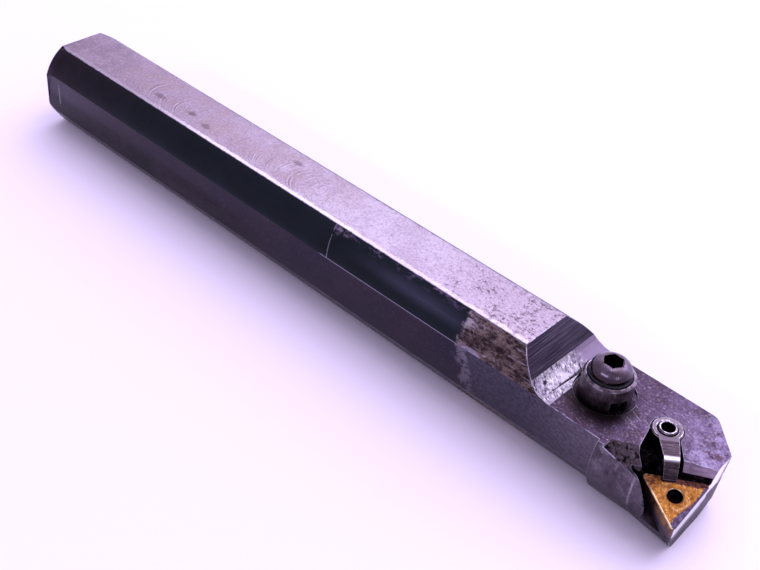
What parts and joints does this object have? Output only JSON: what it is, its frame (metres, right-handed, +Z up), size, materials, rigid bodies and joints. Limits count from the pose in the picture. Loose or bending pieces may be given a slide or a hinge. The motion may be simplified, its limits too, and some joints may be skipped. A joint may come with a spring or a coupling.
{
  "type": "boring bar",
  "caption": "Left-hand indexable boring bar: round steel shank with flats, stepped head, triangular insert held by lock pin and clamp finger, swivelling coolant nozzle.",
  "frame": {"origin": "centre of the bar's rear face, on the axis of the coolant inlet", "axes": "+X along the bar from its rear face to the cutting end, +Z up and square to the top flat, +Y to the back; the insert's nose points to -Y"},
  "size_m": [0.25, 0.0331, 0.0305],
  "materials": {
    "bar_steel": "blackened steel, ground bare on the top flat, stained and scuffed",
    "coated_carbide": "gold nitride coating, worn through along the end cutting edge",
    "bare_carbide": "ground grey carbide",
    "clamp_steel": "blackened steel rubbed bright on its edges",
    "black_screw": "black oxide, satin",
    "seal_rubber": "matt black rubber"
  },
  "bodies": {
    "bar": {"bar_body": "bar_steel", "insert": "coated_carbide", "shim": "bare_carbide", "nozzle_base_seal": "seal_rubber"},
    "lock_pin": {"lock_pin": "black_screw"},
    "clamp_finger": {"clamp_finger": "clamp_steel"},
    "clamp_screw": {"clamp_screw": "black_screw"},
    "nozzle_collar": {"nozzle_collar": "clamp_steel"},
    "nozzle_rise": {"nozzle_head_seal": "seal_rubber"},
    "nozzle_screw": {"nozzle_screw": "black_screw"}
  },
  "joints": [
    {"name": "lock_pin_turn", "type": "hinge", "parent": "bar", "child": "lock_pin", "pos_m": [0.24491, -0.0117, -0.00108], "axis": [0.0767, -0.2039, 0.976], "range_deg": [0, 120]},
    {"name": "clamp_lift", "type": "slide", "parent": "bar", "child": "clamp_finger", "axis": [0, 0, 1], "range_m": [0, 0.002]},
    {"name": "clamp_screw_turn", "type": "hinge", "parent": "clamp_finger", "child": "clamp_screw", "pos_m": [0.2338, 0.00045, 0], "axis": [0, 0, 1], "range_deg": [0, 900]},
    {"name": "nozzle_swivel", "type": "hinge", "parent": "bar", "child": "nozzle_collar", "pos_m": [0.21585, -0.0002, 0.0053], "axis": [0, 0, 1], "range_deg": [-25, 25]},
    {"name": "nozzle_screw_rise", "type": "slide", "parent": "bar", "child": "nozzle_rise", "axis": [0, 0, 1], "range_m": [0, 0.0035]},
    {"name": "nozzle_screw_turn", "type": "hinge", "parent": "nozzle_rise", "child": "nozzle_screw", "pos_m": [0.21585, -0.0002, 0.0053], "axis": [0, 0, 1], "range_deg": [0, 1260]}
  ],
  "couplings": [
    {"joint": "clamp_screw_turn", "follows": "clamp_lift", "rad_per_m": 7854},
    {"joint": "nozzle_screw_turn", "follows": "nozzle_screw_rise", "rad_per_m": 6283.2}
  ]
}
